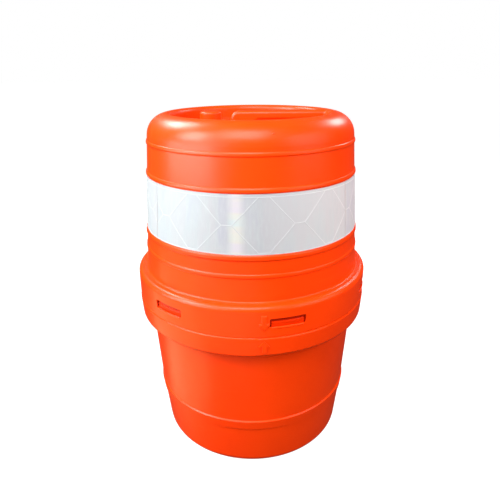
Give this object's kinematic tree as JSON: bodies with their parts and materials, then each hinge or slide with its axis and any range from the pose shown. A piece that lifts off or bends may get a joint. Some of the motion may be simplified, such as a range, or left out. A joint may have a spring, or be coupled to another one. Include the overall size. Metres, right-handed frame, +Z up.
{
  "type": "traffic barrel drum",
  "caption": "Tapered two-part plastic traffic drum with a clip-fit upper shell, reflective band, recessed carry handle and screw filler cap.",
  "frame": {"origin": "centre of the foot, on the ground", "axes": "+Z up along the drum's axis; -Y is the front with the alignment arrows; +X is the right, where the handle meets the rim"},
  "size_m": [0.5554, 0.556, 0.7978],
  "materials": {
    "orange_plastic": "moulded polyethylene, semi-matt",
    "cap_plastic": "moulded polyethylene, semi-matt",
    "reflective_sheeting": "white prismatic reflective film",
    "gasket_rubber": "smooth"
  },
  "bodies": {
    "tub": {"lower_tub": "orange_plastic", "snap_lug_1": "orange_plastic", "snap_lug_2": "orange_plastic", "snap_lug_3": "orange_plastic", "snap_lug_4": "orange_plastic", "snap_lug_5": "orange_plastic", "snap_lug_6": "orange_plastic"},
    "upper": {"upper_shell": "orange_plastic", "carry_handle": "orange_plastic", "filler_neck": "orange_plastic", "reflective_sheet_front": "reflective_sheeting", "reflective_sheet_right": "reflective_sheeting", "reflective_sheet_left": "reflective_sheeting"},
    "cap_seal": {"cap_gasket": "gasket_rubber"},
    "cap": {"filler_cap": "cap_plastic"}
  },
  "joints": [
    {"name": "upper_lift", "type": "slide", "parent": "tub", "child": "upper", "axis": [0, 0, 1], "range_m": [0, 0.12], "deforming": ["snap_lug_1", "snap_lug_2", "snap_lug_3", "snap_lug_4", "snap_lug_5", "snap_lug_6"]},
    {"name": "cap_lift", "type": "slide", "parent": "upper", "child": "cap_seal", "axis": [0, 0, 1], "range_m": [0, 0.024]},
    {"name": "cap_turn", "type": "hinge", "parent": "cap_seal", "child": "cap", "pos_m": [-0.092, 0.035, 0.775], "axis": [0, 0, 1], "range_deg": [0, 1440]}
  ],
  "couplings": [
    {"joint": "cap_lift", "follows": "cap_turn", "m_per_rad": 0.00095493}
  ]
}
